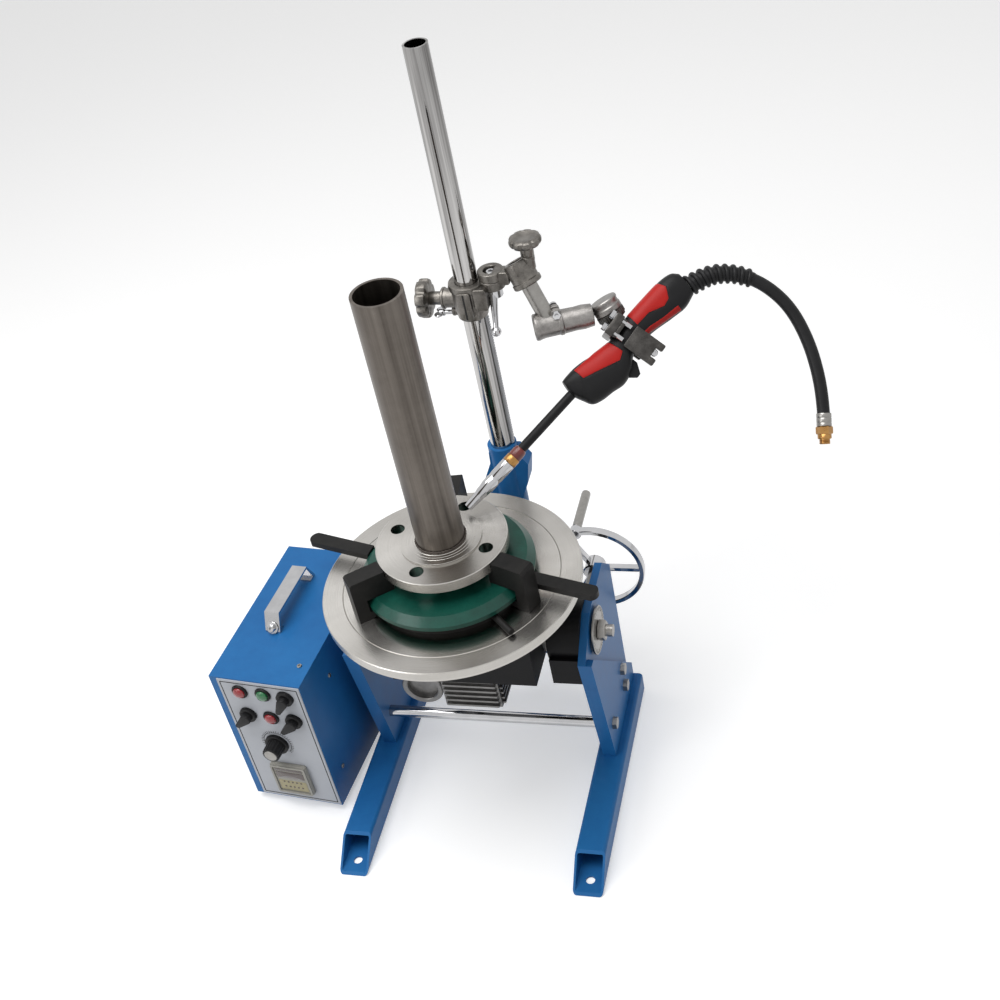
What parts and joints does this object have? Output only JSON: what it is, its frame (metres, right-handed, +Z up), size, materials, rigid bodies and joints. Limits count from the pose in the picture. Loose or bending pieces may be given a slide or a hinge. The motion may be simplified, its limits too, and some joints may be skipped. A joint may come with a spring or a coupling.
{
  "type": "welding positioner",
  "caption": "Tilting and turning welding positioner: U-frame with handwheel tilt, round table with lever-worked jaws, post-mounted torch holder with torch, and a separate control box.",
  "frame": {"origin": "the point of the floor straight under the level table's turning axis", "axes": "+X to the operator's right, the side of the handwheel; +Y away from the operator, towards the post; +Z up, the turning axis of the level table"},
  "size_m": [0.7986, 0.5145, 0.957],
  "materials": {
    "blue_paint": "semi-gloss enamel",
    "black_paint": "satin enamel",
    "grey_casting": "cast, bare",
    "green_paint": "hammered enamel",
    "black_steel": "black oxide",
    "stainless": "turned",
    "pipe_steel": "drawn",
    "chrome": "polished",
    "machined": "machined",
    "nickel_casting": "tumbled casting",
    "black_plastic": "matte",
    "hose_rubber": "matte",
    "brass": "bare",
    "white_enamel": "printed sheet",
    "green_lens": "clear cap",
    "red_lens": "clear cap",
    "beige_plastic": "moulded"
  },
  "bodies": {
    "base": {"legs": "blue_paint", "side_plates": "blue_paint", "gussets": "blue_paint", "tie_rod": "chrome", "rear_beam": "blue_paint", "post": "blue_paint", "frame_bolts": "machined", "tilt_bush": "machined", "tilt_gearbox": "grey_casting", "box_case": "blue_paint", "box_panel": "white_enamel", "box_fittings": "black_plastic", "button_bezels": "chrome", "pilot_lamp": "red_lens", "counter": "beige_plastic", "strap_handle": "chrome"},
    "hand_drive": {"handwheel": "chrome", "wheel_grip": "chrome", "worm_shaft": "machined"},
    "tilt_frame": {"tilt_body": "black_paint", "tilt_shafts": "machined", "tilt_scale": "machined", "worm_wheel": "brass", "gearbox": "grey_casting", "motor": "grey_casting"},
    "turntable": {"table_disc": "stainless", "spindle": "machined", "chuck_base": "black_steel", "flange": "stainless", "pipe": "pipe_steel"},
    "cam": {"cam_disc": "green_paint", "cam_levers": "black_steel"},
    "jaw_a": {"jaw_1": "black_steel"},
    "jaw_b": {"jaw_2": "black_steel"},
    "jaw_c": {"jaw_3": "black_steel"},
    "column": {"pole": "chrome", "pole_rack": "machined"},
    "carriage": {"pole_clamp": "nickel_casting"},
    "star": {"star_knob": "nickel_casting"},
    "wing": {"wing_bolt": "machined"},
    "crank": {"crank_lever": "machined"},
    "cross": {"cross_clamp": "nickel_casting"},
    "top_screw": {"top_knob": "nickel_casting"},
    "arm": {"arm_tube": "machined", "elbow": "nickel_casting"},
    "torch": {"torch_clamp": "nickel_casting", "torch_body": "black_plastic", "torch_neck": "black_plastic", "torch_collar": "brass", "nozzle": "chrome", "strain_relief": "hose_rubber", "hose": "hose_rubber", "hose_end": "brass"},
    "torch_trigger": {"trigger": "black_plastic"},
    "green_cap": {"green_button": "green_lens"},
    "red_cap": {"red_button": "red_lens"},
    "switch_1": {"selector_1": "black_plastic"},
    "switch_2": {"selector_2": "black_plastic"},
    "switch_3": {"selector_3": "black_plastic"},
    "speed_dial": {"speed_knob": "black_plastic"}
  },
  "joints": [
    {"name": "tilt", "type": "hinge", "parent": "base", "child": "tilt_frame", "pos_m": [0, 0.035, 0.245], "axis": [1, 0, 0], "range_deg": [0, 90]},
    {"name": "handwheel_turn", "type": "hinge", "parent": "base", "child": "hand_drive", "pos_m": [0.13, 0.185, 0.215], "axis": [0, 1, 0], "range_deg": [0, 2700]},
    {"name": "table_turn", "type": "hinge", "parent": "tilt_frame", "child": "turntable", "pos_m": [0, 0, 0.36], "axis": [0, 0, 1], "continuous": true},
    {"name": "cam_turn", "type": "hinge", "parent": "turntable", "child": "cam", "pos_m": [0, 0, 0.386], "axis": [0, 0, 1], "range_deg": [0, 30]},
    {"name": "jaw_1_slide", "type": "slide", "parent": "turntable", "child": "jaw_a", "axis": [-0.788, -0.6157, 0], "range_m": [0, 0.025]},
    {"name": "jaw_2_slide", "type": "slide", "parent": "turntable", "child": "jaw_b", "axis": [0.9272, -0.3746, 0], "range_m": [0, 0.025]},
    {"name": "jaw_3_slide", "type": "slide", "parent": "turntable", "child": "jaw_c", "axis": [-0.1392, 0.9903, 0], "range_m": [0, 0.025]},
    {"name": "column_turn", "type": "hinge", "parent": "base", "child": "column", "pos_m": [0.017, 0.235, 0.34], "axis": [0, 0, 1], "range_deg": [0, 90]},
    {"name": "clamp_height", "type": "slide", "parent": "column", "child": "carriage", "axis": [0, 0, 1], "range_m": [0, 0.2]},
    {"name": "star_knob_turn", "type": "hinge", "parent": "carriage", "child": "star", "pos_m": [-0.03, 0.235, 0.625], "axis": [-1, 0, 0], "continuous": true},
    {"name": "wing_bolt_turn", "type": "hinge", "parent": "carriage", "child": "wing", "pos_m": [-0.01, 0.235, 0.604], "axis": [-1, 0, 0], "continuous": true},
    {"name": "pivot_lever_turn", "type": "hinge", "parent": "carriage", "child": "crank", "pos_m": [0.05, 0.235, 0.633], "axis": [0, 0, 1], "range_deg": [0, 90]},
    {"name": "cross_swing", "type": "hinge", "parent": "carriage", "child": "cross", "pos_m": [0.05, 0.235, 0.655], "axis": [0, 0, 1], "range_deg": [0, 45]},
    {"name": "top_knob_turn", "type": "hinge", "parent": "cross", "child": "top_screw", "pos_m": [0.101, 0.235, 0.69], "axis": [0, 0, 1], "continuous": true},
    {"name": "arm_slide", "type": "slide", "parent": "cross", "child": "arm", "axis": [-0.4133, 0.248, 0.8762], "range_m": [0, 0.03]},
    {"name": "torch_swivel", "type": "hinge", "parent": "arm", "child": "torch", "pos_m": [0.189, 0.242, 0.595], "axis": [-0.4501, 0.2001, 0.8703], "range_deg": [0, 30]},
    {"name": "trigger_pull", "type": "slide", "parent": "torch", "child": "torch_trigger", "axis": [-0.9599, -0.2211, 0.1724], "range_m": [0, 0.004], "stiffness_N_per_m": 800},
    {"name": "green_button_press", "type": "slide", "parent": "base", "child": "green_cap", "axis": [0.0958, 0.9954, 0], "range_m": [0, 0.003], "stiffness_N_per_m": 500},
    {"name": "red_button_press", "type": "slide", "parent": "base", "child": "red_cap", "axis": [0.0958, 0.9954, 0], "range_m": [0, 0.003], "stiffness_N_per_m": 500},
    {"name": "switch_1_turn", "type": "hinge", "parent": "base", "child": "switch_1", "pos_m": [-0.23234, -0.09392, 0.227], "axis": [-0.0958, -0.9954, 0], "range_deg": [0, 90]},
    {"name": "switch_2_turn", "type": "hinge", "parent": "base", "child": "switch_2", "pos_m": [-0.30003, -0.0874, 0.184], "axis": [-0.0958, -0.9954, 0], "range_deg": [0, 90]},
    {"name": "switch_3_turn", "type": "hinge", "parent": "base", "child": "switch_3", "pos_m": [-0.23185, -0.09397, 0.183], "axis": [-0.0958, -0.9954, 0], "range_deg": [0, 90]},
    {"name": "speed_knob_turn", "type": "hinge", "parent": "base", "child": "speed_dial", "pos_m": [-0.27295, -0.09302, 0.13], "axis": [0.0958, 0.9954, 0], "range_deg": [0, 270]}
  ],
  "couplings": [
    {"joint": "handwheel_turn", "follows": "tilt", "ratio": 30},
    {"joint": "jaw_1_slide", "follows": "cam_turn", "m_per_rad": 0.0477},
    {"joint": "jaw_2_slide", "follows": "cam_turn", "m_per_rad": 0.0477},
    {"joint": "jaw_3_slide", "follows": "cam_turn", "m_per_rad": 0.0477}
  ]
}
